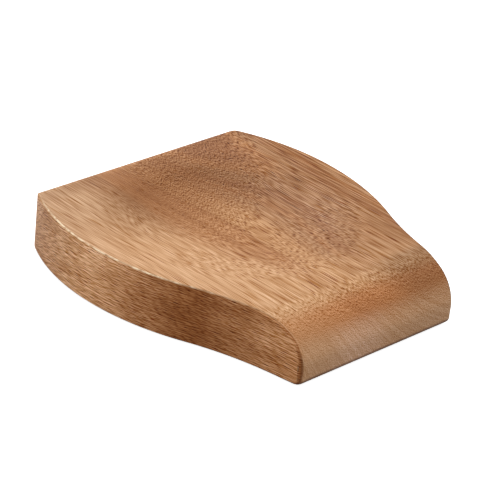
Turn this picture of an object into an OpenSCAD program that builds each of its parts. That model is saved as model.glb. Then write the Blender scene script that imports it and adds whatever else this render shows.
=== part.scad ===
// Utensil rest: a block of solid wood with a shallow round dish in its top, a narrow end
// that rolls down over the front, and four non-slip pads set into its flat base.
// X runs along the length, wide end at -X and narrow end at +X, and +Z is up.
// The origin is on the surface the rest stands on, below the middle of its length.

/* [Block] */
// Length from the wide end to the narrow end
block_length = 127; // [115:1:150]
// Thickness of the wood
block_thickness = 21.5; // [18:0.5:30]
// Width across the wide end
wide_end_width = 95; // [84:1:106]
// Greatest width, across the bulge of the sides
bulge_width = 117; // [110:1:126]
// Distance from the wide end to the bulge
bulge_offset = 41; // [34:0.5:46]
// Radius of the sides where they fall away from the bulge
shoulder_radius = 96; // [82:1:104]
// Radius of the hollow curve along the neck
neck_radius = 123; // [100:1:160]
// Width across the narrow end
narrow_end_width = 75; // [66:0.5:82]
// Radius of the upright corners at the wide end
wide_corner_radius = 5; // [2:0.5:9]
// Radius of the upright corners at the narrow end
narrow_corner_radius = 2.5; // [0.5:0.5:8]

/* [Ends] */
// Length over which the top rolls down to the narrow end
roll_length = 20.5; // [17:0.5:26]
// Height of the upright face that is left under the roll
roll_face_height = 5.7; // [4:0.1:8]
// Angle through which the gentle first arc of the roll turns
roll_turn = 26; // [20:1:38]
// Rounding of the top edge at the wide end
rim_radius = 3; // [0.5:0.5:6]
// Rounding of the bottom edge at both ends
foot_radius = 3.5; // [0.5:0.1:3.8]

/* [Dish] */
// Depth of the dish at its middle
dish_depth = 5; // [2:0.5:8]
// Radius at which the rounded lip of the dish runs out
dish_radius = 53; // [46:1:56]
// Radius of the hollow floor inside the lip
dish_floor_radius = 36; // [24:1:42]
// Distance from the wide end to the middle of the dish
dish_offset = 52; // [50:1:60]

/* [Foot pads] */
// Diameter of a pad
pad_diameter = 12; // [8:0.5:16]
// Thickness of a pad
pad_height = 2.2; // [1.8:0.1:4]
// Depth to which a pad sits in the base
pad_seat_depth = 1.4; // [0.8:0.1:1.6]
// Gap around a pad in its seat
pad_clearance = 0.15; // [0.05:0.05:0.5]
// Bevel of a pad's lower edge
pad_bevel = 0.5; // [0.1:0.1:0.8]
// Distance from an end of the block to the middle of a pad
pad_end_inset = 18; // [14:1:26]
// Distance from the side of that end to the middle of a pad
pad_side_inset = 16; // [13:1:20]

/* [Hidden] */
$fn = 128;

wood_colour = [0.70, 0.51, 0.36];
pad_colour = [0.80, 0.79, 0.76];

// Extra length of cutting shapes past the faces they cut
overcut = 2;
// Overlap of neighbouring curves, so that they cross instead of just touching
cross = 0.01;
// Height above the top at which the dish's lip runs out, so that it crosses the top cleanly
lip_rise = 0.1;

half_length = block_length / 2;
wide_half = wide_end_width / 2;
bulge_half = bulge_width / 2;
narrow_half = narrow_end_width / 2;
base_z = pad_height - pad_seat_depth;
top_z = base_z + block_thickness;

// Sides from the wide end to the bulge: one arc
bulge_point = [bulge_offset - half_length, bulge_half];
bulge_rise = bulge_half - wide_half;
flank_radius = (bulge_offset * bulge_offset + bulge_rise * bulge_rise) / (2 * bulge_rise);
flank_centre = bulge_point - [0, flank_radius];

// Sides from the bulge to the narrow end: a shoulder arc, then a hollow neck arc tangent to it
shoulder_centre = bulge_point - [0, shoulder_radius];
neck_end = [half_length, narrow_half];
neck_reach = shoulder_radius + neck_radius;
neck_span = neck_end - shoulder_centre;
neck_lift = acos((neck_span * neck_span + neck_reach * neck_reach - neck_radius * neck_radius)
    / (2 * norm(neck_span) * neck_reach));
neck_angle = atan2(neck_span.y, neck_span.x) + neck_lift;
neck_centre = shoulder_centre + neck_reach * [cos(neck_angle), sin(neck_angle)];
neck_start = shoulder_centre + shoulder_radius * [cos(neck_angle), sin(neck_angle)];

// Upright corners: each is an arc tangent to the end and to the side
wide_corner_x = wide_corner_radius - half_length;
wide_corner = [wide_corner_x,
    flank_centre.y + leg(flank_radius - wide_corner_radius, wide_corner_x - flank_centre.x)];
narrow_corner_x = half_length - narrow_corner_radius;
narrow_corner = [narrow_corner_x,
    neck_centre.y - leg(neck_radius + narrow_corner_radius, narrow_corner_x - neck_centre.x)];

// Roll over the narrow end: a gentle crown arc, then a tight nose arc that ends upright
roll_drop = block_thickness - roll_face_height;
nose_radius = (roll_drop * sin(roll_turn) - roll_length * (1 - cos(roll_turn)))
    / (sin(roll_turn) + cos(roll_turn) - 1);
crown_radius = (roll_length - nose_radius * (1 - sin(roll_turn))) / sin(roll_turn);
crown_centre = [half_length - roll_length, top_z - crown_radius];
nose_centre = [half_length - nose_radius, base_z + roll_face_height];

// Dish: a hollow floor arc and a rounded lip arc, tangent where they meet
dish_x = dish_offset - half_length;
dish_floor_z = top_z - dish_depth;
dish_slope = 2 * atan((dish_depth + lip_rise) / dish_radius);
hollow_radius = dish_floor_radius / sin(dish_slope);
lip_radius = (dish_radius - dish_floor_radius) / sin(dish_slope);

// Pad places on the far side
wide_pad = [pad_end_inset - half_length, wide_half - pad_side_inset];
narrow_pad = [half_length - pad_end_inset, narrow_half - pad_side_inset];

// Other leg of a right triangle
function leg(hypotenuse, side) = sqrt(hypotenuse * hypotenuse - side * side);

// Direction from one point to another, in degrees
function heading(from, to) = atan2(to.y - from.y, to.x - from.x);

// The same point on the other side of the X axis
function mirrored(point) = [point.x, -point.y];

module both_sides() {
    children();
    mirror([0, 1, 0]) children();
}

// Space common to a disc and its mirror image across the X axis
module lens(centre, radius) {
    intersection() {
        translate(centre) circle(radius);
        translate(mirrored(centre)) circle(radius);
    }
}

// Waste outside a rounded corner, between two directions from the arc's centre
module corner_waste(centre, radius, reach, from_angle, to_angle) {
    half_turn = (to_angle - from_angle) / 2;
    middle_reach = reach / cos(half_turn);
    translate(centre) difference() {
        rotate(from_angle + half_turn) polygon([
            [0, 0], reach * [cos(half_turn), -sin(half_turn)],
            [middle_reach, 0], reach * [cos(half_turn), sin(half_turn)]
        ]);
        circle(radius);
    }
}

module plan_outline() {
    difference() {
        intersection() {
            translate([-half_length, -bulge_half - overcut])
                square([block_length, bulge_width + 2 * overcut]);
            union() {
                lens(flank_centre + [0, cross], flank_radius);
                translate([bulge_point.x, -bulge_half - overcut])
                    square([block_length, bulge_width + 2 * overcut]);
            }
            union() {
                lens(shoulder_centre, shoulder_radius);
                translate([neck_start.x, -bulge_half]) square([block_length, bulge_width]);
            }
        }
        both_sides() {
            translate(neck_centre) circle(neck_radius + cross);
            corner_waste(wide_corner, wide_corner_radius + cross, wide_corner_radius + overcut,
                heading(flank_centre, wide_corner), 180);
            corner_waste(narrow_corner, narrow_corner_radius + cross, narrow_corner_radius + overcut,
                0, heading(narrow_corner, neck_centre));
        }
    }
}

// Side view of the block, drawn with X to the right and Z up
module rolled_profile() {
    difference() {
        translate([-half_length - overcut, base_z])
            square([block_length + 2 * overcut, block_thickness]);
        corner_waste(crown_centre, crown_radius + cross, crown_radius + roll_drop, 0, 90);
        corner_waste(nose_centre, nose_radius + 2 * cross, nose_radius + roll_drop, 0, 90 - roll_turn);
        corner_waste([rim_radius - half_length, top_z - rim_radius], rim_radius + cross,
            rim_radius + 2 * overcut, 90, 180);
        corner_waste([foot_radius - half_length, base_z + foot_radius], foot_radius + cross,
            foot_radius + 2 * overcut, 180, 270);
        corner_waste([half_length - foot_radius, base_z + foot_radius], foot_radius + cross,
            foot_radius + 2 * overcut, 270, 360);
    }
}

// Half section of the space that the dish takes out, from its axis outward
module dish_section() {
    section_height = dish_depth + overcut;
    difference() {
        union() {
            intersection() {
                translate([0, dish_floor_z + hollow_radius]) circle(hollow_radius);
                translate([0, dish_floor_z - overcut])
                    square([dish_floor_radius + overcut, section_height + overcut]);
            }
            translate([dish_floor_radius, dish_floor_z])
                square([dish_radius - dish_floor_radius, section_height]);
        }
        translate([dish_radius, top_z + lip_rise - lip_radius]) circle(lip_radius + cross);
    }
}

module pad_seat(place) {
    translate([place.x, place.y, base_z - overcut])
        cylinder(d = pad_diameter + 2 * pad_clearance, h = pad_seat_depth + overcut);
}

module rest_body() {
    color(wood_colour) difference() {
        intersection() {
            translate([0, 0, base_z - overcut])
                linear_extrude(block_thickness + 2 * overcut) plan_outline();
            rotate([90, 0, 0])
                linear_extrude(bulge_width + 2 * overcut, center = true) rolled_profile();
        }
        translate([dish_x, 0, 0]) rotate_extrude() dish_section();
        for (place = [wide_pad, mirrored(wide_pad), narrow_pad, mirrored(narrow_pad)]) pad_seat(place);
    }
}

module foot_pad(place) {
    pad_radius = pad_diameter / 2;
    color(pad_colour) translate([place.x, place.y, 0]) rotate_extrude() polygon([
        [0, 0], [pad_radius - pad_bevel, 0], [pad_radius, pad_bevel],
        [pad_radius, pad_height], [0, pad_height]
    ]);
}

rest_body();
foot_pad(mirrored(wide_pad));  // foot_pad_wide_near
foot_pad(wide_pad);  // foot_pad_wide_far
foot_pad(mirrored(narrow_pad));  // foot_pad_narrow_near
foot_pad(narrow_pad);  // foot_pad_narrow_far
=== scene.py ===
"""Looks of a utensil rest: one block of oiled acacia with a dished top, on four silicone pads.

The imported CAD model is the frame. All sizes are in metres, in the frame's own axes: X runs along the
length from the wide end to the narrow rolled end, +Y is the far side and +Z is up. In the finishes, places
and lengths are in millimetres, in the same axes.
"""

import logging
import math
from dataclasses import dataclass, field
from enum import Enum
from functools import partial, reduce

import bmesh
import bpy
from mathutils import Color, Matrix, Vector


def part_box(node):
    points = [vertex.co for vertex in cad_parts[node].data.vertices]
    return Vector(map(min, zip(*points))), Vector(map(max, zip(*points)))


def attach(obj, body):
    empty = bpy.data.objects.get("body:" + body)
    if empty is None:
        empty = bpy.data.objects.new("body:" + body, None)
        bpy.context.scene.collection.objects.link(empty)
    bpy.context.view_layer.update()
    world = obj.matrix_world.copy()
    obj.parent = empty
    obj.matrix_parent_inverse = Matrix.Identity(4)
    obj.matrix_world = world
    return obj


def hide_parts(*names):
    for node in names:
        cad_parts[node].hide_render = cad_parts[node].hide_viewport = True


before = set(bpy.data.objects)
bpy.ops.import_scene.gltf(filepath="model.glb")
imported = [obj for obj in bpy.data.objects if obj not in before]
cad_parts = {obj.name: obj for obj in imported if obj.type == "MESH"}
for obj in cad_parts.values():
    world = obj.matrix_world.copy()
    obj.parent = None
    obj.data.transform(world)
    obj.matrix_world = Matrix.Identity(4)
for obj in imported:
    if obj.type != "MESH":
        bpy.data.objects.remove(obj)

LOG = logging.getLogger("utensil_rest")
MM = 0.001
TOUCH = 0.001 * MM
BODY = "root"
WHITE = (1.0, 1.0, 1.0, 1.0)
STREAK_SHARES = (0.68, 1.0, 1.45)
MIX_SHARE, MIX_UNDER, MIX_OVER, MIX_RESULT = 0, 6, 7, 2

Socket = bpy.types.NodeSocket
Triple = tuple[float, float, float]
Colour = tuple[float, float, float, float]


class Side(Enum):
    """Long side of the rest, as the sign of Y."""

    NEAR = -1
    FAR = 1


class End(Enum):
    """End of the rest, as the sign of X."""

    WIDE = -1
    NARROW = 1


class Slot(Enum):
    """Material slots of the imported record."""

    WOOD = "oiled_wood"
    SILICONE = "silicone"


def linear(red: float, green: float, blue: float) -> Colour:
    """Linear light, with a full alpha, of a colour that a screen shows in shares of 255."""
    return (*Color((red / 255, green / 255, blue / 255)).from_srgb_to_scene_linear(), 1.0)


@dataclass(frozen=True)
class Ease:
    """Smooth change from a low to a high level, while the value that steers it runs from start to end.

    Where the end lies below the start, the change runs towards lower values.
    """

    start: float
    end: float
    low: float = 0.0
    high: float = 1.0


class Graph:
    """Node tree of one material, with short ways to add and join its nodes."""

    def __init__(self, name: str) -> None:
        """Starts a material with a plain surface shader.

        Args:
            name: Name of the material.
        """
        self.material = bpy.data.materials.new(name)
        self.material.use_nodes = True
        self.tree = self.material.node_tree
        self.shader = self.tree.nodes["Principled BSDF"]

    def put(self, socket: Socket, value: object) -> None:
        """Joins another node's output to a socket, or sets the socket's own value.

        Args:
            socket: Input that takes the value.
            value: Output socket, number, vector or colour.
        """
        if isinstance(value, Socket):
            self.tree.links.new(value, socket)
        else:
            socket.default_value = value

    def node(self, kind: str, inputs: dict, **settings: object) -> bpy.types.Node:
        """Adds a node.

        Args:
            kind: Blender's name of the node type.
            inputs: Values of the node's input sockets, by name or number.
            settings: Values of the node's own settings.

        Returns:
            The new node.
        """
        made = self.tree.nodes.new(kind)
        for name, value in settings.items():
            setattr(made, name, value)
        for name, value in inputs.items():
            self.put(made.inputs[name], value)
        return made

    def surface(self, inputs: dict) -> None:
        """Sets inputs of the surface shader, by name."""
        for name, value in inputs.items():
            self.put(self.shader.inputs[name], value)

    def coordinates(self) -> tuple[Socket, Socket]:
        """Place in the object, in millimetres, and the surface's direction there."""
        source = self.node("ShaderNodeTexCoord", {})
        return self.stretched(source.outputs["Object"], (1 / MM, 1 / MM, 1 / MM)), source.outputs["Normal"]

    def parts(self, vector: Socket) -> list[Socket]:
        """The three parts of a vector."""
        return list(self.node("ShaderNodeSeparateXYZ", {0: vector}).outputs)

    def moved(self, point: Socket, shift: object) -> Socket:
        """Point with a shift added."""
        return self.node("ShaderNodeVectorMath", {0: point, 1: shift}, operation="ADD").outputs[0]

    def stretched(self, point: Socket, scale: Triple) -> Socket:
        """Point with each of its axes multiplied."""
        return self.node("ShaderNodeVectorMath", {0: point, 1: scale}, operation="MULTIPLY").outputs[0]

    def math(self, operation: str, first: object, second: object = 0.0) -> Socket:
        """Result of one sum on two numbers."""
        return self.node("ShaderNodeMath", {0: first, 1: second}, operation=operation).outputs[0]

    def product(self, *factors: object) -> Socket:
        """Product of several numbers."""
        return reduce(partial(self.math, "MULTIPLY"), factors)

    def aslant(self, first: Socket, second: Socket, share: float) -> Socket:
        """One number plus a share of another."""
        return self.math("ADD", first, self.product(second, share))

    def rest_of(self, share: Socket) -> Socket:
        """What a share leaves of one."""
        return self.math("SUBTRACT", 1.0, share)

    def distance(self, across: Socket, below: Socket) -> Socket:
        """Distance that two legs at right angles span."""
        squares = (self.math("POWER", leg, 2.0) for leg in (across, below))
        return self.math("SQRT", self.math("ADD", *squares))

    def noise(self, point: Socket, scale: Triple, detail: float, output: str = "Fac") -> Socket:
        """Cloudy value or colour, from its changes for each millimetre and its number of finer layers."""
        inputs = {"Vector": self.stretched(point, scale), "Scale": 1.0, "Detail": detail}
        return self.node("ShaderNodeTexNoise", inputs).outputs[output]

    def eased(self, value: Socket, ease: Ease) -> Socket:
        """Level of a smooth change at the value that steers it."""
        inputs = {"Value": value, "From Min": ease.start, "From Max": ease.end,
                  "To Min": ease.low, "To Max": ease.high}
        return self.node("ShaderNodeMapRange", inputs, interpolation_type="SMOOTHSTEP").outputs["Result"]

    def overlap(self, *changes: tuple[Socket, Ease]) -> Socket:
        """Product of the levels of several smooth changes."""
        return self.product(*(self.eased(value, ease) for value, ease in changes))

    def mixed(self, share: object, first: object, second: object, blend: str = "MIX") -> Socket:
        """First colour with a share of the second blended over it."""
        inputs = {MIX_SHARE: share, MIX_UNDER: first, MIX_OVER: second}
        return self.node("ShaderNodeMix", inputs, data_type="RGBA", blend_type=blend).outputs[MIX_RESULT]

    def tinted(self, share: object, colour: Socket, tint: object) -> Socket:
        """Colour multiplied by a share of a tint."""
        return self.mixed(share, colour, tint, "MULTIPLY")

    def shaded(self, colour: Socket, shade: Socket) -> Socket:
        """Colour with its light multiplied by a number."""
        tint = self.node("ShaderNodeCombineColor", {"Red": shade, "Green": shade, "Blue": shade})
        return self.tinted(1.0, colour, tint.outputs[0])

    def streaked(self, colour: Socket, change: Socket) -> Socket:
        """Colour with its light changed by a share, most in blue and least in red."""
        tint = self.node("ShaderNodeVectorMath", {0: change, 1: STREAK_SHARES, 2: WHITE[:3]},
                         operation="MULTIPLY_ADD")
        return self.tinted(1.0, colour, tint.outputs[0])

    def ramp(self, value: Socket, start: float, end: float, stops: tuple) -> Socket:
        """Colour that runs through a row of stops.

        Args:
            value: Value that steers the colour.
            start: Value at the ramp's start.
            end: Value at the ramp's end.
            stops: Value and colour of each stop, in order.

        Returns:
            The colour at the value.
        """
        inputs = {"Value": value, "From Min": start, "From Max": end}
        share = self.node("ShaderNodeMapRange", inputs).outputs["Result"]
        made = self.node("ShaderNodeValToRGB", {"Fac": share})
        row = made.color_ramp.elements
        shares = [(place - start) / (end - start) for place, _ in stops]
        for extra in shares[len(row):]:
            row.new(extra)
        for stop, place, (_, colour) in zip(row, shares, stops):
            stop.position = place
            stop.color = colour
        return made.outputs["Color"]

    def bump(self, height: Socket, strength: float, depth: float, invert: bool = False) -> Socket:
        """Direction of a surface with fine relief, of a depth in metres, whose heights may be hollows."""
        inputs = {"Height": height, "Strength": strength, "Distance": depth}
        return self.node("ShaderNodeBump", inputs, invert=invert).outputs[0]


@dataclass(frozen=True)
class Spot:
    """Point of the wood's surface, as the outputs of the nodes that tell where it lies.

    The place in the block has the parts along, width and height, and the surface's direction has the parts
    lean, side and rise. Grain and fibre are the places among the growth rings and among the fibres.
    """

    point: Socket
    along: Socket
    width: Socket
    height: Socket
    lean: Socket
    side: Socket
    rise: Socket
    grain: Socket
    fibre: Socket


@dataclass(frozen=True)
class Grain:
    """Run of the grain: growth rings that wander from the length, and fibres that rise to the wide end."""

    wander_scale: Triple = (0.015, 0.03, 0.03)
    wander_detail: float = 1.0
    wander_middle: Triple = (-0.5, -0.5, -0.5)
    wander_reach: Triple = (0.0, 5.0, 1.5)
    top_slant: float = 1.2
    top_rise: Ease = Ease(-80.0, 12.0, 18.0, 0.0)
    top_width: Ease = Ease(-28.0, -2.0)
    wall_slant: float = -0.45
    wall_rise: Ease = Ease(-95.0, -5.0, 15.0, 0.0)
    wall_side: Ease = Ease(-0.5, -0.8)

    def spot(self, graph: Graph) -> Spot:
        """Place of the point that is coloured.

        Args:
            graph: Node tree.

        Returns:
            The point.
        """
        point, facing = graph.coordinates()
        lean, side, rise = graph.parts(facing)
        wander = graph.noise(point, self.wander_scale, self.wander_detail, "Color")
        wander = graph.stretched(graph.moved(wander, self.wander_middle), self.wander_reach)
        grain = graph.moved(point, wander)
        return Spot(point, *graph.parts(point), lean, side, rise, grain, self._dipping(graph, grain, side))

    def _dipping(self, graph: Graph, grain: Socket, side: Socket) -> Socket:
        """Place of a point among the fibres, which rise under the dish and along the near wall.

        Args:
            graph: Node tree.
            grain: Place among the growth rings.
            side: How far the surface faces the far side.

        Returns:
            Place with the fibres straightened along X.
        """
        along, width, _ = graph.parts(grain)
        wall = graph.eased(side, self.wall_side)
        slant = graph.aslant(along, width, self.top_slant)
        top = graph.overlap((slant, self.top_rise), (width, self.top_width))
        beside = graph.eased(graph.aslant(along, width, self.wall_slant), self.wall_rise)
        height = graph.math("ADD", graph.product(top, graph.rest_of(wall)), graph.product(beside, wall))
        return graph.moved(grain, graph.node("ShaderNodeCombineXYZ", {"Z": height}).outputs[0])


@dataclass(frozen=True)
class RingLines:
    """Light and dark lines that follow the growth rings."""

    scale: float
    roughness: float
    depth: Ease
    detail: float = 3.0

    def over(self, graph: Graph, radius: Socket, colour: Socket) -> Socket:
        """Draws the lines.

        Args:
            graph: Node tree.
            radius: Distance from the pith.
            colour: Colour of the wood.

        Returns:
            Colour with the lines.
        """
        inputs = {"W": radius, "Scale": self.scale, "Detail": self.detail, "Roughness": self.roughness}
        lines = graph.node("ShaderNodeTexNoise", inputs, noise_dimensions="1D").outputs["Fac"]
        return graph.streaked(colour, graph.eased(lines, self.depth))


@dataclass(frozen=True)
class GrowthRings:
    """Growth rings round a pith above the far side, with pale sapwood at the near side and narrow end."""

    pith_y: float = 29.0
    pith_z: float = 87.0
    pith_climb: float = 0.028
    fray_scale: Triple = (0.05, 1.2, 1.2)
    fray_detail: float = 2.0
    fray: Ease = Ease(0.2, 0.8, -0.35, 0.35)
    pale: Colour = linear(209, 161, 118)
    tan: Colour = linear(182, 128, 84)
    ochre: Colour = linear(190, 139, 94)
    brown: Colour = linear(170, 116, 73)
    dun: Colour = linear(170, 122, 83)
    fawn: Colour = linear(188, 132, 87)
    drab: Colour = linear(159, 107, 69)
    inner: float = 60.0
    outer: float = 120.0
    zones: tuple = (
        (60.0, drab), (63.6, drab), (64.6, tan), (65.6, dun), (66.5, dun), (67.1, drab), (67.8, dun),
        (68.4, brown), (69.0, dun), (72.0, ochre), (74.5, ochre), (75.2, brown), (75.9, tan), (78.0, tan),
        (78.7, brown), (79.6, tan))
    even_length: Ease = Ease(-12.0, -38.0, 0.0, 0.55)
    even_width: Ease = Ease(26.0, 6.0)
    near_slant: float = -0.2
    near_sap: Ease = Ease(-8.0, -27.0)
    narrow_slant: float = -0.4
    narrow_sap: Ease = Ease(18.0, 38.0, 0.0, 0.6)
    shade_length: Ease = Ease(-50.0, -4.0, 0.82, 1.0)
    shade_width: Ease = Ease(-36.0, -18.0)
    lines: RingLines = RingLines(0.9, 0.75, Ease(0.30, 0.68, -0.13, 0.06))

    def colour(self, graph: Graph, spot: Spot) -> Socket:
        """Colours the growth rings: evenly towards the wide end, and pale in the sapwood.

        Args:
            graph: Node tree.
            spot: Point of the surface.

        Returns:
            Colour of the ring there.
        """
        along, width, height = graph.parts(spot.grain)
        across = graph.math("SUBTRACT", width, self.pith_y)
        below = graph.aslant(graph.math("SUBTRACT", self.pith_z, height), along, self.pith_climb)
        fray = graph.eased(graph.noise(spot.fibre, self.fray_scale, self.fray_detail), self.fray)
        radius = graph.math("ADD", graph.distance(across, below), fray)
        colour = graph.ramp(radius, self.inner, self.outer, self.zones)
        even = graph.overlap((along, self.even_length), (width, self.even_width))
        colour = graph.mixed(even, colour, self.fawn)
        near = graph.eased(graph.aslant(width, along, self.near_slant), self.near_sap)
        narrow = graph.eased(graph.aslant(along, width, self.narrow_slant), self.narrow_sap)
        colour = graph.mixed(graph.math("MAXIMUM", near, narrow), colour, self.pale)
        shades = graph.eased(along, self.shade_length), graph.eased(width, self.shade_width)
        colour = graph.shaded(colour, graph.math("MAXIMUM", *shades))
        return self.lines.over(graph, radius, colour)


@dataclass(frozen=True)
class SlopeTints:
    """Tints of the slopes that cut into the fibres' ends, of the roll and of the near wall, partly painted
    shade and painted light.
    """

    # Partly painted shade: a darker, browner tint for slopes that lean towards the narrow end, partly the end
    # grain's own colour and partly shade of slopes turned away from the key light; it also darkens the top
    # along the wide end.
    end_cut_and_shade_tint: Colour = (0.44, 0.32, 0.21, 1.0)
    # Partly painted shade: the roll's redder tint is partly the heartwood's colour and partly shade of the
    # roll, which turns away from the key light.
    roll_colour_and_shade_tint: Colour = (0.86, 0.67, 0.54, 1.0)
    # Painted light: the near wall alone is tinted warmer, for the warm light that falls on that side.
    near_wall_light_tint: Colour = (1.12, 1.01, 0.92, 1.0)
    # Painted light: the near wall is paler where it bulges, for the light that falls on that part from the
    # left.
    bulge_light_tint: Colour = (1.11, 1.20, 1.30, 1.0)
    far_width: Ease = Ease(0.0, 30.0)
    far_length: Ease = Ease(38.0, 47.0)
    far_shade: Ease = Ease(0.0, 1.0, 1.0, 0.74)
    roll_length: Ease = Ease(42.0, 46.0)
    roll_rise: Ease = Ease(0.1, 0.4)
    flush_lean: Ease = Ease(0.18, 0.42)
    flush_width: Ease = Ease(-36.0, -12.0, 0.7, 1.0)
    cut_depth: float = 2.5
    cut_rise: float = 1.1
    border: Ease = Ease(-50.0, -58.0, 0.0, 0.2)
    wall_side: Ease = Ease(-0.5, -0.9)
    bulge_start: Ease = Ease(-52.0, -30.0)
    bulge_end: Ease = Ease(4.0, -18.0)

    def over(self, graph: Graph, spot: Spot, colour: Socket) -> Socket:
        """Tints the slopes, the roll and the near wall, with painted shade and painted light among the tints.

        Args:
            graph: Node tree.
            spot: Point of the surface.
            colour: Colour of the wood along its fibres.

        Returns:
            Colour that is darker and browner on slopes towards the narrow end (end grain colour and painted
            shade), redder on the roll (heartwood colour and painted shade), warmer on the near wall and paler
            on the wall's bulge (painted light).
        """
        far = graph.overlap((spot.width, self.far_width), (spot.along, self.far_length))
        colour = graph.shaded(colour, graph.eased(far, self.far_shade))
        roll = graph.overlap((spot.along, self.roll_length), (spot.rise, self.roll_rise))
        # Darker on slopes towards the narrow end and along the wide end: partly end grain colour, partly
        # painted shade.
        steep = graph.math("ADD", graph.product(spot.rise, self.cut_rise), self.cut_depth)
        border = graph.eased(spot.along, self.border)
        depth = graph.math("ADD", graph.product(spot.lean, steep), border)
        cut = graph.node("ShaderNodeClamp", {"Value": depth}).outputs[0]
        cut = graph.product(cut, graph.rest_of(roll))
        # Redder on the roll: partly heartwood colour, partly painted shade.
        flush = graph.overlap((spot.lean, self.flush_lean), (spot.width, self.flush_width))
        flush = graph.product(flush, roll)
        # Painted light on the near wall: warmer all along it, and paler where it bulges.
        wall = graph.eased(spot.side, self.wall_side)
        # Painted light: paler where the near wall bulges.
        bulge = graph.overlap((spot.along, self.bulge_start), (spot.along, self.bulge_end))
        bulge = graph.product(bulge, wall)
        steps = ((cut, self.end_cut_and_shade_tint), (flush, self.roll_colour_and_shade_tint), (wall, self.near_wall_light_tint), (bulge, self.bulge_light_tint))
        for share, tint in steps:
            colour = graph.tinted(share, colour, tint)
        return colour


@dataclass(frozen=True)
class EndGrain:
    """Grey end grain of the two ends, where the growth rings show as faint lines."""

    pith_y: float = 55.0
    pith_z: float = 61.0
    grey: Colour = linear(196, 154, 117)
    pale: Colour = linear(210, 170, 140)
    pale_y: float = -10.0
    pale_width: Ease = Ease(3.0, 18.0, 0.9, 0.0)
    end_lean: Ease = Ease(0.6, 0.95, 0.0, 0.75)
    lines: RingLines = RingLines(0.6, 0.7, Ease(0.3, 0.7, -0.14, 0.12))

    def over(self, graph: Graph, spot: Spot, colour: Socket) -> Socket:
        """Draws the end grain.

        Args:
            graph: Node tree.
            spot: Point of the surface.
            colour: Colour of the wood along its fibres.

        Returns:
            Colour that is a ringed grey on the ends.
        """
        across = graph.math("SUBTRACT", spot.width, self.pith_y)
        below = graph.math("SUBTRACT", spot.height, self.pith_z)
        beside = graph.math("ABSOLUTE", graph.math("SUBTRACT", spot.width, self.pale_y))
        ringed = graph.mixed(graph.eased(beside, self.pale_width), self.grey, self.pale)
        ringed = self.lines.over(graph, graph.distance(across, below), ringed)
        end = graph.eased(graph.math("ABSOLUTE", spot.lean), self.end_lean)
        return graph.mixed(end, colour, ringed)


@dataclass(frozen=True)
class Streaks:
    """Fine streaks in pairs of light and dark, which the skew makes darker than they are light.

    The lift makes up for the light that the skew takes away.
    """

    scale: Triple
    apart: float
    depth: float
    detail: float = 0.5
    skew: float = 0.8
    lift: float = 0.028

    def over(self, graph: Graph, fibre: Socket, share: Socket, colour: Socket) -> Socket:
        """Draws the streaks.

        Args:
            graph: Node tree.
            fibre: Place among the fibres.
            share: Strength of the streaks there.
            colour: Colour of the wood between them.

        Returns:
            Colour with the streaks.
        """
        beside = graph.moved(fibre, (0.0, self.apart, self.apart))
        pair = (graph.noise(place, self.scale, self.detail) for place in (fibre, beside))
        fine = graph.product(graph.math("SUBTRACT", *pair), self.depth)
        skewed = graph.product(fine, graph.rest_of(graph.product(fine, self.skew)))
        return graph.streaked(colour, graph.product(graph.math("ADD", skewed, self.lift), share))


@dataclass(frozen=True)
class Fibres:
    """Light and dark streaks of the fibres: fine ones on the top and the walls, and soft ones all over."""

    far_lines: Streaks = Streaks((0.02, 2.4, 0.7), 0.22, 2.2)
    top_long: Streaks = Streaks((0.03, 2.1, 2.8), 0.23, 1.0)
    top_short: Streaks = Streaks((0.12, 2.9, 3.6), 0.17, 1.8)
    wall_long: Streaks = Streaks((0.08, 0.6, 2.2), 0.30, 1.5)
    wall_short: Streaks = Streaks((0.35, 0.9, 3.0), 0.24, 2.1)
    wall_side: Ease = Ease(0.5, 0.8)
    end_lean: Ease = Ease(0.45, 0.85, 1.0, 0.8)
    near_width: Ease = Ease(-40.0, 0.0, 0.72, 1.0)
    dip_length: Ease = Ease(-10.0, -50.0, 0.0, 0.4)
    dip_width: Ease = Ease(-25.0, -5.0)
    far_width: Ease = Ease(8.0, 30.0)
    far_start: Ease = Ease(-42.0, -22.0)
    far_end: Ease = Ease(30.0, 10.0)
    soft_scale: Triple = (0.02, 0.5, 0.5)
    soft_detail: float = 1.0
    soft_depth: Ease = Ease(0.3, 0.7, -0.03, 0.03)
    cloud_scale: Triple = (0.07, 0.07, 0.18)
    cloud_detail: float = 3.0
    cloud_depth: Ease = Ease(0.3, 0.7, -0.18, 0.19)

    def over(self, graph: Graph, spot: Spot, colour: Socket) -> Socket:
        """Draws the streaks, and soft patches on the walls.

        Args:
            graph: Node tree.
            spot: Point of the surface.
            colour: Colour of the wood between the streaks.

        Returns:
            Colour with the streaks and patches.
        """
        along, width, _ = graph.parts(spot.fibre)
        wall = graph.eased(graph.math("ABSOLUTE", spot.side), self.wall_side)
        dips = graph.overlap((along, self.dip_length), (width, self.dip_width))
        top = graph.overlap((width, self.near_width), (graph.math("ABSOLUTE", spot.lean), self.end_lean))
        top = graph.product(top, graph.math("ADD", dips, 1.0), graph.rest_of(wall))
        far = graph.overlap((width, self.far_width), (along, self.far_start), (along, self.far_end))
        layers = (
            (graph.product(far, top), self.far_lines), (top, self.top_long), (top, self.top_short),
            (wall, self.wall_long), (wall, self.wall_short))
        for share, streaks in layers:
            colour = streaks.over(graph, spot.fibre, share, colour)
        soft = graph.noise(spot.fibre, self.soft_scale, self.soft_detail)
        colour = graph.streaked(colour, graph.eased(soft, self.soft_depth))
        cloud = graph.noise(spot.point, self.cloud_scale, self.cloud_detail)
        return graph.mixed(wall, colour, graph.streaked(colour, graph.eased(cloud, self.cloud_depth)))


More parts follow.
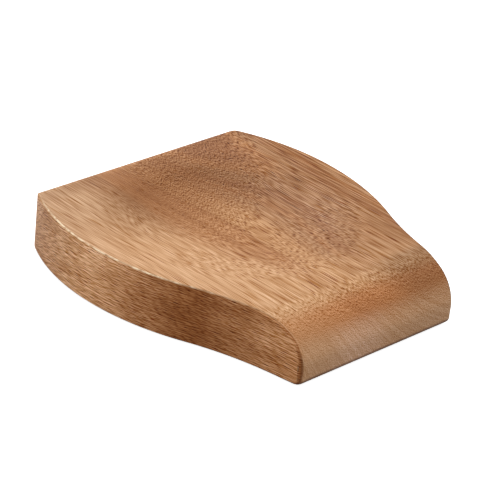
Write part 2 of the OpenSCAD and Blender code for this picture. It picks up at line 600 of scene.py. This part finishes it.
@dataclass(frozen=True)
class Vessels:
    """Vessels of the wood: long thin tubes along the fibres, some open and dark, some filled and pale."""

    scale: Triple = (0.06, 1.0, 1.0)
    tube: Ease = Ease(0.38, 0.16)
    open_kind: Ease = Ease(0.28, 0.14)
    tone: Ease = Ease(0.12, 0.34, -0.45, 0.06)

    def at(self, graph: Graph, fibre: Socket) -> tuple[Socket, Socket]:
        """Lays the vessels along the fibres.

        Args:
            graph: Node tree.
            fibre: Place among the fibres.

        Returns:
            Share of open vessel, and the change of the wood's light there.
        """
        inputs = {"Vector": graph.stretched(fibre, self.scale), "Scale": 1.0}
        cell = graph.node("ShaderNodeTexVoronoi", inputs)
        tube = graph.eased(cell.outputs["Distance"], self.tube)
        kind = graph.node("ShaderNodeSeparateColor", {0: cell.outputs["Color"]}).outputs["Red"]
        pores = graph.product(tube, graph.eased(kind, self.open_kind))
        return pores, graph.product(tube, graph.eased(kind, self.tone))


@dataclass(frozen=True)
class EdgeHighlightAndShade:
    """Rounded edges: a pale painted highlight along the near rim, and painted shade darkening the others."""

    # Painted highlight: a pale cream along the near rim's rounding, for the light that the rim catches.
    painted_rim_highlight: Colour = linear(255, 230, 194)
    # Painted shade: a dark tint along the far and wide rims, the foot and the near edge of the roll.
    painted_edge_shade: Colour = (0.45, 0.38, 0.32, 1.0)
    crest_start: Ease = Ease(0.45, 0.75)
    crest_end: Ease = Ease(0.985, 0.94)
    near_side: Ease = Ease(-0.2, -0.3)
    near_start: Ease = Ease(-61.0, -46.0)
    near_end: Ease = Ease(42.0, 0.0, 0.1, 1.0)
    # Noise that breaks up the painted highlight.
    highlight_breakup_scale: Triple = (0.4, 0.4, 0.4)
    highlight_breakup_detail: float = 3.0
    highlight_breakup: Ease = Ease(0.38, 0.62, 0.25, 0.95)
    rim_start: Ease = Ease(0.15, 0.4)
    rim_end: Ease = Ease(0.96, 0.88)
    far_side: Ease = Ease(0.2, 0.4)
    wide_lean: Ease = Ease(-0.5, -0.7, 0.0, 0.4)
    foot_rise: Ease = Ease(-0.05, -0.4)
    foot_lean: Ease = Ease(-0.3, 0.0, 0.5, 1.0)
    roll_length: Ease = Ease(40.0, 50.0, 0.0, 0.65)
    roll_start: Ease = Ease(-0.5, -0.7)
    roll_end: Ease = Ease(-0.9, -0.75)

    def over(self, graph: Graph, spot: Spot, colour: Socket) -> Socket:
        """Paints a highlight and shade on the edges.

        Args:
            graph: Node tree.
            spot: Point of the surface.
            colour: Colour of the wood.

        Returns:
            Colour with a pale painted highlight along the near rim, and painted shade along the far and wide
            rims, the foot and the near edge of the roll.
        """
        along, lean, side, rise = spot.along, spot.lean, spot.side, spot.rise
        # Painted highlight along the crest of the near rim, broken up by noise.
        highlight_breakup = graph.noise(spot.point, self.highlight_breakup_scale, self.highlight_breakup_detail)
        highlight_share = graph.overlap(
            (rise, self.crest_start), (rise, self.crest_end), (side, self.near_side),
            (along, self.near_start), (along, self.near_end), (highlight_breakup, self.highlight_breakup))
        # Painted shade along the far and wide rims, the foot and the near edge of the roll.
        back = graph.math("MAXIMUM", graph.eased(side, self.far_side), graph.eased(lean, self.wide_lean))
        rim = graph.product(graph.overlap((rise, self.rim_start), (rise, self.rim_end)), back)
        foot = graph.overlap((rise, self.foot_rise), (lean, self.foot_lean))
        roll = graph.overlap((along, self.roll_length), (side, self.roll_start), (side, self.roll_end))
        dark = graph.math("MAXIMUM", graph.math("MAXIMUM", rim, foot), roll)
        return graph.tinted(dark, graph.mixed(highlight_share, colour, self.painted_rim_highlight), self.painted_edge_shade)


@dataclass(frozen=True)
class OiledAcacia:
    """Oiled acacia, cut from a board whose growth rings curve round a pith above its far side."""

    grain: Grain = Grain()
    rings: GrowthRings = GrowthRings()
    slopes: SlopeTints = SlopeTints()
    ends: EndGrain = EndGrain()
    fibres: Fibres = Fibres()
    vessels: Vessels = Vessels()
    edges: EdgeHighlightAndShade = EdgeHighlightAndShade()
    gloss: float = 0.12
    oil: Colour = (1.0, 0.86, 0.70, 1.0)
    roughness: Ease = Ease(0.0, 0.6, 0.42, 0.75)
    ridge_scale: Triple = (0.05, 2.5, 2.5)
    ridge_detail: float = 2.0
    ridge_share: float = 0.3
    relief: float = 0.3
    relief_depth: float = 0.1 * MM

    def material(self) -> bpy.types.Material:
        """Builds the wood.

        Returns:
            The material.
        """
        graph = Graph("oiled_acacia")
        spot = self.grain.spot(graph)
        colour = self.rings.colour(graph, spot)
        for coat in (self.slopes, self.ends, self.fibres):
            colour = coat.over(graph, spot, colour)
        pores, change = self.vessels.at(graph, spot.fibre)
        # The edges get a painted highlight and painted shade.
        colour = self.edges.over(graph, spot, graph.streaked(colour, change))
        ridges = graph.noise(spot.fibre, self.ridge_scale, self.ridge_detail)
        hollows = graph.aslant(pores, ridges, self.ridge_share)
        graph.surface({
            "Base Color": colour,
            "Roughness": graph.eased(pores, self.roughness),
            "Specular IOR Level": self.gloss,
            "Specular Tint": self.oil,
            "Normal": graph.bump(hollows, self.relief, self.relief_depth, invert=True)})
        return graph.material


@dataclass(frozen=True)
class Silicone:
    """Soft matte silicone of the foot pads."""

    colour: Colour = linear(204, 200, 192)
    dust: Colour = linear(176, 170, 160)
    dust_scale: Triple = (0.7, 0.7, 0.7)
    dust_detail: float = 4.0
    dust_share: Ease = Ease(0.4, 0.7)
    roughness: float = 0.55
    skin_scale: Triple = (9.0, 9.0, 9.0)
    skin_detail: float = 2.0
    relief: float = 0.3
    relief_depth: float = 0.05 * MM

    def material(self) -> bpy.types.Material:
        """Builds the silicone.

        Returns:
            The material.
        """
        graph = Graph("silicone_pad")
        point, _ = graph.coordinates()
        dusty = graph.eased(graph.noise(point, self.dust_scale, self.dust_detail), self.dust_share)
        skin = graph.noise(point, self.skin_scale, self.skin_detail)
        graph.surface({
            "Base Color": graph.mixed(dusty, self.colour, self.dust),
            "Roughness": self.roughness,
            "Normal": graph.bump(skin, self.relief, self.relief_depth)})
        return graph.material


def mesh_object(name: str, bm: bmesh.types.BMesh) -> bpy.types.Object:
    """Turns a finished bmesh into an object at the origin.

    Args:
        name: Name of the object and its mesh.
        bm: The bmesh, which is freed.

    Returns:
        The object.
    """
    mesh = bpy.data.meshes.new(name)
    bm.to_mesh(mesh)
    bm.free()
    made = bpy.data.objects.new(name, mesh)
    bpy.context.scene.collection.objects.link(made)
    return made


def shade_evenly(piece: bpy.types.Object) -> None:
    """Smooths a piece's shading, led by its large faces.

    Args:
        piece: The piece's object.
    """
    for face in piece.data.polygons:
        face.use_smooth = True
    piece.modifiers.new("even_shading", "WEIGHTED_NORMAL").keep_sharp = True


def arc_drop(out: float, radius: float) -> float:
    """How far an arc has fallen from its level start.

    Args:
        out: Distance along the level.
        radius: Radius of the arc.

    Returns:
        The fall, zero before the start.
    """
    return radius - math.sqrt(max(radius ** 2 - max(out, 0.0) ** 2, 0.0))


def arc_slope(out: float, radius: float) -> float:
    """Slope of an arc at a distance from its level start."""
    return math.asin(min(max(out, 0.0) / radius, 1.0))


@dataclass
class Corner:
    """Upright corner at the wide end: the radius, middle and turn of its arc."""

    radius: float
    x: float
    y: float
    turn: float

    def place(self, angle: float) -> float:
        """Place along the length of a point on the corner, by its angle from the wide end."""
        return self.x - self.radius * math.cos(angle)


@dataclass
class Outline:
    """Plan of the block: on each side a corner, a flank, a shoulder and a hollow neck, all arcs."""

    half_length: float
    bulge_half: float
    wide_half: float = 47.5 * MM
    narrow_half: float = 37.5 * MM
    bulge_offset: float = 41.0 * MM
    shoulder_radius: float = 96.0 * MM
    neck_radius: float = 123.0 * MM
    near_corner: float = 5.0 * MM
    far_corner: float = 9.0 * MM

    def __post_init__(self) -> None:
        """Works out the arcs' centres."""
        rise = self.bulge_half - self.wide_half
        self.bulge_x = self.bulge_offset - self.half_length
        self.flank_radius = (self.bulge_offset ** 2 + rise ** 2) / (2 * rise)
        self.corners = {Side.NEAR: self._corner(self.near_corner), Side.FAR: self._corner(self.far_corner)}
        shoulder = Vector((self.bulge_x, self.bulge_half - self.shoulder_radius))
        span = Vector((self.half_length, self.narrow_half)) - shoulder
        reach = self.shoulder_radius + self.neck_radius
        legs = span.length_squared + reach ** 2 - self.neck_radius ** 2
        turn = math.atan2(span.y, span.x) + math.acos(legs / (2 * span.length * reach))
        self.neck_centre = shoulder + reach * Vector((math.cos(turn), math.sin(turn)))
        self.neck_x = shoulder.x + self.shoulder_radius * math.cos(turn)

    def _corner(self, radius: float) -> Corner:
        """Arc between the wide end and the flank.

        Args:
            radius: Radius of the arc.

        Returns:
            The corner.
        """
        x = radius - self.half_length
        away = self.bulge_x - x
        rise = math.sqrt((self.flank_radius - radius) ** 2 - away ** 2)
        return Corner(radius, x, self.bulge_half - self.flank_radius + rise, math.atan2(rise, away))

    def half_width(self, x: float, side: Side) -> float:
        """Distance from the block's middle to a side.

        Args:
            x: Place along the length.
            side: Side of the block.

        Returns:
            The distance.
        """
        corner = self.corners[side]
        if x < corner.place(corner.turn):
            return corner.y + math.sqrt(max(corner.radius ** 2 - (x - corner.x) ** 2, 0.0))
        if x > self.neck_x:
            return self.neck_centre.y - math.sqrt(self.neck_radius ** 2 - (x - self.neck_centre.x) ** 2)
        radius = self.flank_radius if x < self.bulge_x else self.shoulder_radius
        return self.bulge_half - radius + math.sqrt(radius ** 2 - (x - self.bulge_x) ** 2)


@dataclass
class Roll:
    """Side view of the narrow end: a gentle crown arc, then a tight nose arc that ends upright."""

    end_x: float
    base_z: float
    top_z: float
    length: float = 20.5 * MM
    face_height: float = 5.7 * MM
    turn: float = math.radians(26)

    def __post_init__(self) -> None:
        """Works out the two arcs."""
        drop = self.top_z - self.base_z - self.face_height
        sine, cosine = math.sin(self.turn), math.cos(self.turn)
        self.nose_radius = (drop * sine - self.length * (1 - cosine)) / (sine + cosine - 1)
        self.crown_radius = (self.length - self.nose_radius * (1 - sine)) / sine
        self.start_x = self.end_x - self.length

    def place(self, angle: float) -> float:
        """Place along the length at which the roll has a given slope.

        Args:
            angle: Slope, from level to upright.

        Returns:
            The place.
        """
        if angle < self.turn:
            return self.start_x + self.crown_radius * math.sin(angle)
        return self.end_x - self.nose_radius * (1 - math.sin(angle))

    def point(self, x: float) -> tuple[float, float]:
        """Height and slope of the roll at a place along the length.

        Args:
            x: Place along the length.

        Returns:
            Height there, and slope from level to upright.
        """
        if x < self.start_x + self.crown_radius * math.sin(self.turn):
            out, radius, crest = x - self.start_x, self.crown_radius, self.top_z
        else:
            out, radius = x - self.end_x + self.nose_radius, self.nose_radius
            crest = self.base_z + self.face_height + radius
        return crest - arc_drop(out, radius), arc_slope(out, radius)


@dataclass
class Dish:
    """Shallow round dish in the top: a hollow floor and a rounded lip."""

    middle_x: float
    depth: float = 5.0 * MM
    radius: float = 53.0 * MM
    floor_radius: float = 36.0 * MM
    lip_rise: float = 0.1 * MM

    def __post_init__(self) -> None:
        """Works out the two arcs of the dish's section."""
        sine = math.sin(2 * math.atan((self.depth + self.lip_rise) / self.radius))
        self.hollow_radius = self.floor_radius / sine
        self.lip_radius = (self.radius - self.floor_radius) / sine

    def drop(self, x: float, y: float) -> float:
        """How far the dish lies below the top at a place in plan.

        Args:
            x: Place along the length.
            y: Place across the width.

        Returns:
            Depth there, zero outside the dish.
        """
        out = math.hypot(x - self.middle_x, y)
        if out < self.floor_radius:
            return self.depth - self.hollow_radius + math.sqrt(self.hollow_radius ** 2 - out ** 2)
        left = max(self.radius - out, 0.0)
        rise = self.lip_radius - math.sqrt(self.lip_radius ** 2 - left ** 2)
        return max(rise - self.lip_rise, 0.0)


@dataclass
class RestBody:
    """The block of wood."""

    finish: OiledAcacia
    node: str = "rest_body"
    dish_offset: float = 52.0 * MM
    rim_radius: float = 3.0 * MM
    foot_radius: float = 3.5 * MM
    corner_steps: int = 10
    flat_steps: int = 36
    roll_steps: int = 24
    width_steps: int = 24
    edge_steps: int = 5
    top_edge_radius: float = 1.0 * MM
    base_edge_radius: float = 0.4 * MM
    end_edge_radius: float = 2.5 * MM
    seat_depth: float = 1.4 * MM
    seat_gap: float = 0.15 * MM
    seat_sides: int = 64
    outline: Outline = field(init=False)
    roll: Roll = field(init=False)
    dish: Dish = field(init=False)

    def __post_init__(self) -> None:
        """Takes the outer sizes from the frame."""
        low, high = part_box(self.node)
        self.start_x, self.base_z, self.top_z = low.x, low.z, high.z
        self.outline = Outline(high.x, high.y)
        self.roll = Roll(high.x, low.z, high.z)
        self.dish = Dish(self.dish_offset + low.x)
        self.stations = self._stations()

    def _stations(self) -> list[float]:
        """Places along the length at which the block is cut into slices.

        Returns:
            Places round the wide corner, along the flat top and down the roll.
        """
        rounded = self.outline.corners[Side.FAR]
        turns = [rounded.turn * step / self.corner_steps for step in range(self.corner_steps)]
        flat_start = rounded.place(rounded.turn)
        flat = self.roll.start_x - flat_start
        slopes = [math.pi / 2 * step / self.roll_steps for step in range(self.roll_steps + 1)]
        return ([rounded.place(turn) for turn in turns]
                + [flat_start + flat * step / self.flat_steps for step in range(self.flat_steps)]
                + [self.roll.place(slope) for slope in slopes])

    def build(self, pads: list[str]) -> bpy.types.Object:
        """Shapes the block and sinks a seat for each pad.

        The block starts as a grid from -1 to 1, whose columns are wrapped round the side view and whose rows
        run from wall to wall. The gaps that the side view leaves in the two walls are then bridged.

        Args:
            pads: Names of the pads' nodes.

        Returns:
            The block's object.
        """
        bm = bmesh.new()
        rows, around = self._rows(), 2 * len(self.stations)
        last_row, ends = len(rows) - 1, (len(self.stations) - 1, around - 1)
        bmesh.ops.create_grid(bm, x_segments=around, y_segments=last_row, size=1)
        skin = {}
        for vert in bm.verts:
            step = round((vert.co.x + 1) / 2 * around)
            row = round((vert.co.y + 1) / 2 * last_row)
            skin[row, step] = vert
            vert.co = self._placed(step % around, *rows[row])
        for row in (0, last_row):
            rims = [(skin[row, step], skin[row, step + 1]) for step in range(around) if step not in ends]
            bmesh.ops.bridge_loops(bm, edges=[bm.edges.get(pair) for pair in rims])
        bmesh.ops.remove_doubles(bm, verts=bm.verts, dist=TOUCH)
        base = [face for face in bm.faces
                if all(math.isclose(vert.co.z, self.base_z, abs_tol=TOUCH) for vert in face.verts)]
        bmesh.ops.dissolve_faces(bm, faces=base)
        bmesh.ops.recalc_face_normals(bm, faces=bm.faces)
        block = mesh_object("wood_block", bm)
        self._sink_seats(block, pads)
        shade_evenly(block)
        return block

    def dress(self, block: bpy.types.Object) -> None:
        """Gives the block its wood and its place in the frame.

        Args:
            block: The block's object.
        """
        block.data.materials.clear()
        block.data.materials.append(self.finish.material())
        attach(block, BODY)
        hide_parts(self.node)

    def _rows(self) -> list[tuple[float, float]]:
        """Rows of points from one wall over the block to the other.

        Returns:
            For each row, its share of the half width and its turn round the block's long edge.
        """
        turns = [math.pi / 2 * (1 - step / self.edge_steps) for step in range(self.edge_steps)]
        middle = [(2 * step / self.width_steps - 1, 0.0) for step in range(self.width_steps + 1)]
        return [(-1.0, turn) for turn in turns] + middle + [(1.0, turn) for turn in reversed(turns)]

    def _placed(self, step: int, share: float, turn: float) -> Vector:
        """Point on the block's skin.

        Args:
            step: Number of the point on its way round the side view: along the top, then back below.
            share: Share of the half width, -1 to 1.
            turn: Turn round the long edge, from the top or base to the wall.

        Returns:
            The point.
        """
        below = 2 * len(self.stations) - 1 - step
        upper = step < len(self.stations)
        number = step if upper else below
        x = self.stations[number]
        z, slope = self._top(x) if upper else self._base(x)
        radius = self._edge_radius(number, upper)
        back = radius * (1 - math.cos(turn))
        x -= back * math.sin(slope)
        z -= back * math.cos(slope) if upper else -back * math.cos(slope)
        side = Side.FAR if share > 0 else Side.NEAR
        y = share * (self.outline.half_width(x, side) - radius * (1 - math.sin(turn)))
        return Vector((x, y, z - self.dish.drop(x, y) if upper else z))

    def _top(self, x: float) -> tuple[float, float]:
        """Height of the top beside the dish.

        Args:
            x: Place along the length.

        Returns:
            Height there, and slope towards the narrow end.
        """
        if x > self.roll.start_x:
            return self.roll.point(x)
        out = self.start_x + self.rim_radius - x
        return self.top_z - arc_drop(out, self.rim_radius), -arc_slope(out, self.rim_radius)

    def _base(self, x: float) -> tuple[float, float]:
        """Height of the base.

        Args:
            x: Place along the length.

        Returns:
            Height there, and slope towards the nearer end.
        """
        out = abs(x) - self.roll.end_x + self.foot_radius
        slope = math.copysign(arc_slope(out, self.foot_radius), x)
        return self.base_z + arc_drop(out, self.foot_radius), slope

    def _edge_radius(self, number: int, upper: bool) -> float:
        """Rounding of the long edges, none at the wide end and fullest at the narrow end.

        Args:
            number: Number of the slice, from the wide end.
            upper: Whether the edge is the top's.

        Returns:
            The radius.
        """
        radius = self.top_edge_radius if upper else self.base_edge_radius
        rolled = max(number - self.corner_steps - self.flat_steps, 0) / self.roll_steps
        fade = min(number / self.corner_steps, 1.0)
        return fade * (radius + (self.end_edge_radius - radius) * rolled ** 2)

    def _sink_seats(self, block: bpy.types.Object, pads: list[str]) -> None:
        """Cuts the pads' seats into the block's base.

        Args:
            block: The block's object.
            pads: Names of the pads' nodes.
        """
        seats = self._seats(pads)
        cut = block.modifiers.new("pad_seats", "BOOLEAN")
        cut.operation = "DIFFERENCE"
        cut.solver = "EXACT"
        cut.object = seats
        graph = bpy.context.evaluated_depsgraph_get()
        finished = bpy.data.meshes.new_from_object(block.evaluated_get(graph))
        block.modifiers.clear()
        block.data = finished
        bpy.data.objects.remove(seats)

    def _seats(self, pads: list[str]) -> bpy.types.Object:
        """Round plugs that cut the pads' seats.

        Args:
            pads: Names of the pads' nodes.

        Returns:
            The plugs, as one object.
        """
        bm = bmesh.new()
        for name in pads:
            low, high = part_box(name)
            radius = (high.x - low.x) / 2 + self.seat_gap
            middle = Vector(((low.x + high.x) / 2, (low.y + high.y) / 2, self.base_z))
            bmesh.ops.create_cone(bm, cap_ends=True, segments=self.seat_sides, radius1=radius, radius2=radius,
                                  depth=2 * self.seat_depth, matrix=Matrix.Translation(middle))
        return mesh_object("seat_plugs", bm)


@dataclass
class FootPad:
    """One non-slip pad: a disc with a soft lower edge and a hollow underside."""

    finish: bpy.types.Material
    end: End
    side: Side
    edge_radius: float = 0.5 * MM
    edge_segments: int = 4
    hollow_radius: float = 4.2 * MM
    hollow_depth: float = 0.25 * MM
    hollow_wall: float = 0.6 * MM
    steps: int = 64

    @property
    def name(self) -> str:
        """Name of the pad's object."""
        return f"pad_{self.end.name.lower()}_{self.side.name.lower()}"

    @property
    def node(self) -> str:
        """Name of the pad's CAD node."""
        return f"foot_{self.name}"

    def build(self) -> bpy.types.Object:
        """Spins the pad's section round its axis.

        Returns:
            The pad's object.
        """
        low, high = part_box(self.node)
        middle = Vector(((low.x + high.x) / 2, (low.y + high.y) / 2, 0))
        radius = (high.x - low.x) / 2
        floor_z = low.z + self.hollow_depth
        corner = (radius, low.z)
        section = [(0, high.z), (radius, high.z), corner, (self.hollow_radius + self.hollow_wall, low.z),
                   (self.hollow_radius, floor_z), (0, floor_z)]
        bm = bmesh.new()
        verts = [bm.verts.new(middle + Vector((out, 0, z))) for out, z in section]
        for pair in zip(verts, verts[1:]):
            bm.edges.new(pair)
        bmesh.ops.bevel(bm, geom=[verts[section.index(corner)]], offset=self.edge_radius,
                        segments=self.edge_segments, profile=0.5, affect="VERTICES", material=-1)
        bmesh.ops.spin(bm, geom=bm.verts[:] + bm.edges[:], cent=middle, axis=(0, 0, 1), angle=2 * math.pi,
                       steps=self.steps, use_merge=True)
        bmesh.ops.remove_doubles(bm, verts=bm.verts, dist=TOUCH)
        bmesh.ops.recalc_face_normals(bm, faces=bm.faces)
        pad = mesh_object(self.name, bm)
        shade_evenly(pad)
        return pad

    def dress(self, pad: bpy.types.Object) -> None:
        """Gives the pad its silicone and its place in the frame.

        Args:
            pad: The pad's object.
        """
        pad.data.materials.append(self.finish)
        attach(pad, BODY)
        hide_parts(self.node)


@dataclass(frozen=True)
class Lamp:
    """Soft square light that faces the rest: its name, place, side in metres and power in watts."""

    name: str
    place: Triple
    size: float
    power: float

    def build(self) -> None:
        """Hangs the light."""
        lamp = bpy.data.lights.new(self.name, "AREA")
        lamp.shape = "SQUARE"
        lamp.size = self.size
        lamp.energy = self.power
        light = bpy.data.objects.new(self.name, lamp)
        light.location = self.place
        light.rotation_euler = Vector(self.place).to_track_quat("Z", "Y").to_euler()
        bpy.context.scene.collection.objects.link(light)


@dataclass
class Studio:
    """White floor, soft lights and the camera."""

    focal_pixels: float = 2365.0
    image_pixels: float = 500.0
    sensor: float = 36.0
    azimuth: float = math.radians(43.093)
    elevation: float = math.radians(28.141)
    bank: float = math.radians(-6.399)
    distance: float = 861.5 * MM
    aim: Triple = (-15.036 * MM, 14.681 * MM, 1.36 * MM)
    clip_start: float = 10 * MM
    floor_size: float = 8.0
    floor_colour: Colour = (0.8, 0.8, 0.8, 1.0)
    floor_roughness: float = 0.9
    glow: float = 0.9
    sky: float = 0.46
    lamps: tuple = (Lamp("key", (-1.1, 0.45, 0.95), 0.5, 11.5), Lamp("top", (0.35, -0.2, 1.3), 1.0, 6.5))

    def build(self) -> None:
        """Sets up floor, light and camera."""
        self._floor()
        self._sky()
        for lamp in self.lamps:
            lamp.build()
        self._camera()
        bpy.context.scene.view_settings.view_transform = "Standard"

    def _floor(self) -> None:
        """Lays a plain white floor under the rest."""
        bm = bmesh.new()
        bmesh.ops.create_grid(bm, x_segments=1, y_segments=1, size=self.floor_size / 2)
        floor = mesh_object("floor", bm)
        graph = Graph("white_floor")
        path = graph.node("ShaderNodeLightPath", {})
        graph.surface({
            "Base Color": self.floor_colour,
            "Roughness": self.floor_roughness,
            "Emission Color": WHITE,
            "Emission Strength": graph.product(path.outputs["Is Camera Ray"], self.glow)})
        floor.data.materials.append(graph.material)

    def _sky(self) -> None:
        """Fills the room with even light."""
        world = bpy.data.worlds.new("room")
        world.use_nodes = True
        room = world.node_tree.nodes["Background"]
        room.inputs["Color"].default_value = WHITE
        room.inputs["Strength"].default_value = self.sky
        bpy.context.scene.world = world

    def _camera(self) -> None:
        """Puts the camera where the photograph was taken from."""
        flat, rise = math.cos(self.elevation), math.sin(self.elevation)
        back = Vector((math.sin(self.azimuth) * flat, -math.cos(self.azimuth) * flat, rise))
        level = Vector((math.cos(self.azimuth), math.sin(self.azimuth), 0))
        upright = back.cross(level)
        right = level * math.cos(self.bank) - upright * math.sin(self.bank)
        up = level * math.sin(self.bank) + upright * math.cos(self.bank)
        lens = bpy.data.cameras.new("camera")
        lens.sensor_width = self.sensor
        lens.lens = self.focal_pixels * self.sensor / self.image_pixels
        lens.clip_start = self.clip_start
        camera = bpy.data.objects.new("camera", lens)
        turned = Matrix((right, up, back)).transposed().to_4x4()
        camera.matrix_world = Matrix.Translation(Vector(self.aim) + back * self.distance) @ turned
        bpy.context.scene.collection.objects.link(camera)
        bpy.context.scene.camera = camera


def main() -> None:
    """Builds the pieces in order and reports each."""
    logging.basicConfig(level=logging.INFO, format="%(message)s")
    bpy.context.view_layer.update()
    silicone = Silicone().material()
    pads = [FootPad(silicone, end, side) for end in End for side in Side]
    body = RestBody(OiledAcacia())
    block = body.build([pad.node for pad in pads])
    body.dress(block)
    LOG.info("%s: %d faces", block.name, len(block.data.polygons))
    for pad in pads:
        disc = pad.build()
        pad.dress(disc)
        LOG.info("%s: %d faces", disc.name, len(disc.data.polygons))
    Studio().build()


if __name__ == "__main__":
    main()
